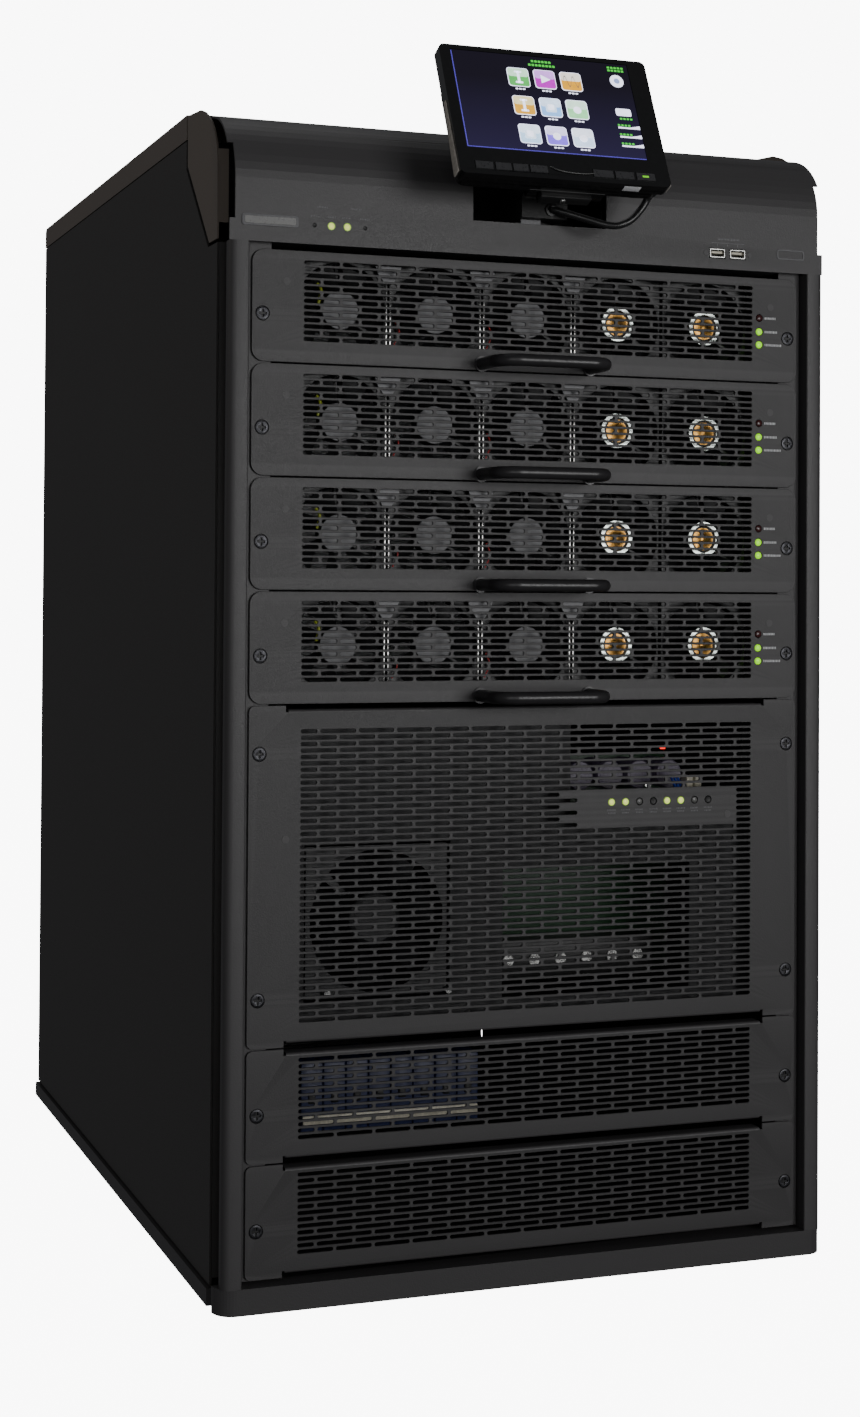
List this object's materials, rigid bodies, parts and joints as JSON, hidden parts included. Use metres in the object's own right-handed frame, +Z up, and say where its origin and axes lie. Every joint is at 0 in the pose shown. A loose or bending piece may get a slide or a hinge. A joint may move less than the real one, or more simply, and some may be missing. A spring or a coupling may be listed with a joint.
{
  "type": "modular ups power cabinet",
  "caption": "Floor-standing 19-inch power cabinet with slide-in vented power modules, a static-switch section, filler panels, a curved hood and a tilting monitor.",
  "frame": {"origin": "underside of the base, at the middle of its width and depth", "axes": "+Z up; the panels, handles and monitor face -Y; +X is to the right seen from the front"},
  "size_m": [0.532, 0.8001, 0.9879],
  "materials": {
    "frame_paint": "fine satin powder coat",
    "side_paint": "fine satin powder coat, warm black",
    "panel_paint": "fine satin powder coat",
    "sheet_steel": "galvanised sheet",
    "black_plastic": "matte",
    "black_paint": "matte",
    "connector": "plated shell with a cream tongue",
    "lamp": "translucent, lit",
    "capacitor": "sleeved cans",
    "gloss_bezel": "glossy black",
    "display": "lit display behind glass",
    "cable_jacket": "satin jacket",
    "handle_paint": "satin black rod"
  },
  "bodies": {
    "cabinet": {"base_frame": "frame_paint", "bottom_rail": "frame_paint", "post_left": "frame_paint", "post_right": "frame_paint", "top_rail": "frame_paint", "side_panel_left": "side_paint", "side_panel_right": "side_paint", "rear_panel": "side_paint", "top_cover": "side_paint", "rack_rail_left": "frame_paint", "rack_rail_right": "frame_paint", "shelf_frame_left": "sheet_steel", "shelf_frame_right": "sheet_steel", "hood_cover": "frame_paint", "hood_cheek_left": "side_paint", "hood_cheek_right": "side_paint", "monitor_pocket": "black_paint", "usb_ports": "connector", "hood_lamps": "lamp", "switch_panel": "panel_paint", "filler_panel_upper": "panel_paint", "filler_panel_lower": "panel_paint", "switch_chassis": "sheet_steel", "switch_fan_frame": "black_plastic", "switch_lamps": "lamp", "switch_components": "capacitor", "breaker_row": "black_plastic", "monitor_post": "black_plastic"},
    "module_1": {"module_1_panel": "panel_paint", "module_1_chassis": "sheet_steel", "module_1_handle": "handle_paint", "module_1_fans": "black_plastic", "module_1_lamps": "lamp"},
    "module_2": {"module_2_panel": "panel_paint", "module_2_chassis": "sheet_steel", "module_2_handle": "handle_paint", "module_2_fans": "black_plastic", "module_2_lamps": "lamp"},
    "module_3": {"module_3_panel": "panel_paint", "module_3_chassis": "sheet_steel", "module_3_handle": "handle_paint", "module_3_fans": "black_plastic", "module_3_lamps": "lamp"},
    "module_4": {"module_4_panel": "panel_paint", "module_4_chassis": "sheet_steel", "module_4_handle": "handle_paint", "module_4_fans": "black_plastic", "module_4_lamps": "lamp"},
    "switch_rotor": {"switch_fan_rotor": "black_plastic"},
    "monitor_arm": {"monitor_arm": "black_plastic", "monitor_cable": "cable_jacket"},
    "monitor_head": {"monitor_shell": "gloss_bezel", "monitor_screen": "display"},
    "monitor_key_1": {"monitor_key_1": "gloss_bezel"},
    "monitor_key_2": {"monitor_key_2": "gloss_bezel"},
    "monitor_key_3": {"monitor_key_3": "gloss_bezel"},
    "monitor_key_4": {"monitor_key_4": "gloss_bezel"},
    "monitor_key_5": {"monitor_key_5": "gloss_bezel"},
    "monitor_key_6": {"monitor_key_6": "gloss_bezel"},
    "monitor_key_7": {"monitor_key_7": "gloss_bezel"}
  },
  "joints": [
    {"name": "module_1_slide", "type": "slide", "parent": "cabinet", "child": "module_1", "axis": [0, -1, 0], "range_m": [0, 0.45]},
    {"name": "module_2_slide", "type": "slide", "parent": "cabinet", "child": "module_2", "axis": [0, -1, 0], "range_m": [0, 0.45]},
    {"name": "module_3_slide", "type": "slide", "parent": "cabinet", "child": "module_3", "axis": [0, -1, 0], "range_m": [0, 0.45]},
    {"name": "module_4_slide", "type": "slide", "parent": "cabinet", "child": "module_4", "axis": [0, -1, 0], "range_m": [0, 0.45]},
    {"name": "switch_fan_spin", "type": "hinge", "parent": "cabinet", "child": "switch_rotor", "pos_m": [-0.128, -0.32, 0.293], "axis": [0, -1, 0], "continuous": true},
    {"name": "monitor_swivel", "type": "hinge", "parent": "cabinet", "child": "monitor_arm", "pos_m": [0, -0.335, 0.866], "axis": [0, 0, 1], "range_deg": [-20, 20]},
    {"name": "monitor_tilt", "type": "hinge", "parent": "monitor_arm", "child": "monitor_head", "pos_m": [0, -0.379, 0.9075], "axis": [1, 0, 0], "range_deg": [-20, 24], "deforming": ["monitor_cable"]},
    {"name": "monitor_key_1_press", "type": "slide", "parent": "monitor_head", "child": "monitor_key_1", "axis": [0, 0.9143, -0.4051], "range_m": [0, 0.001], "stiffness_N_per_m": 300},
    {"name": "monitor_key_2_press", "type": "slide", "parent": "monitor_head", "child": "monitor_key_2", "axis": [0, 0.9143, -0.4051], "range_m": [0, 0.001], "stiffness_N_per_m": 300},
    {"name": "monitor_key_3_press", "type": "slide", "parent": "monitor_head", "child": "monitor_key_3", "axis": [0, 0.9143, -0.4051], "range_m": [0, 0.001], "stiffness_N_per_m": 300},
    {"name": "monitor_key_4_press", "type": "slide", "parent": "monitor_head", "child": "monitor_key_4", "axis": [0, 0.9143, -0.4051], "range_m": [0, 0.001], "stiffness_N_per_m": 300},
    {"name": "monitor_key_5_press", "type": "slide", "parent": "monitor_head", "child": "monitor_key_5", "axis": [0, 0.9143, -0.4051], "range_m": [0, 0.001], "stiffness_N_per_m": 300},
    {"name": "monitor_key_6_press", "type": "slide", "parent": "monitor_head", "child": "monitor_key_6", "axis": [0, 0.9143, -0.4051], "range_m": [0, 0.001], "stiffness_N_per_m": 300},
    {"name": "monitor_key_7_press", "type": "slide", "parent": "monitor_head", "child": "monitor_key_7", "axis": [0, 0.9143, -0.4051], "range_m": [0, 0.001], "stiffness_N_per_m": 300}
  ]
}
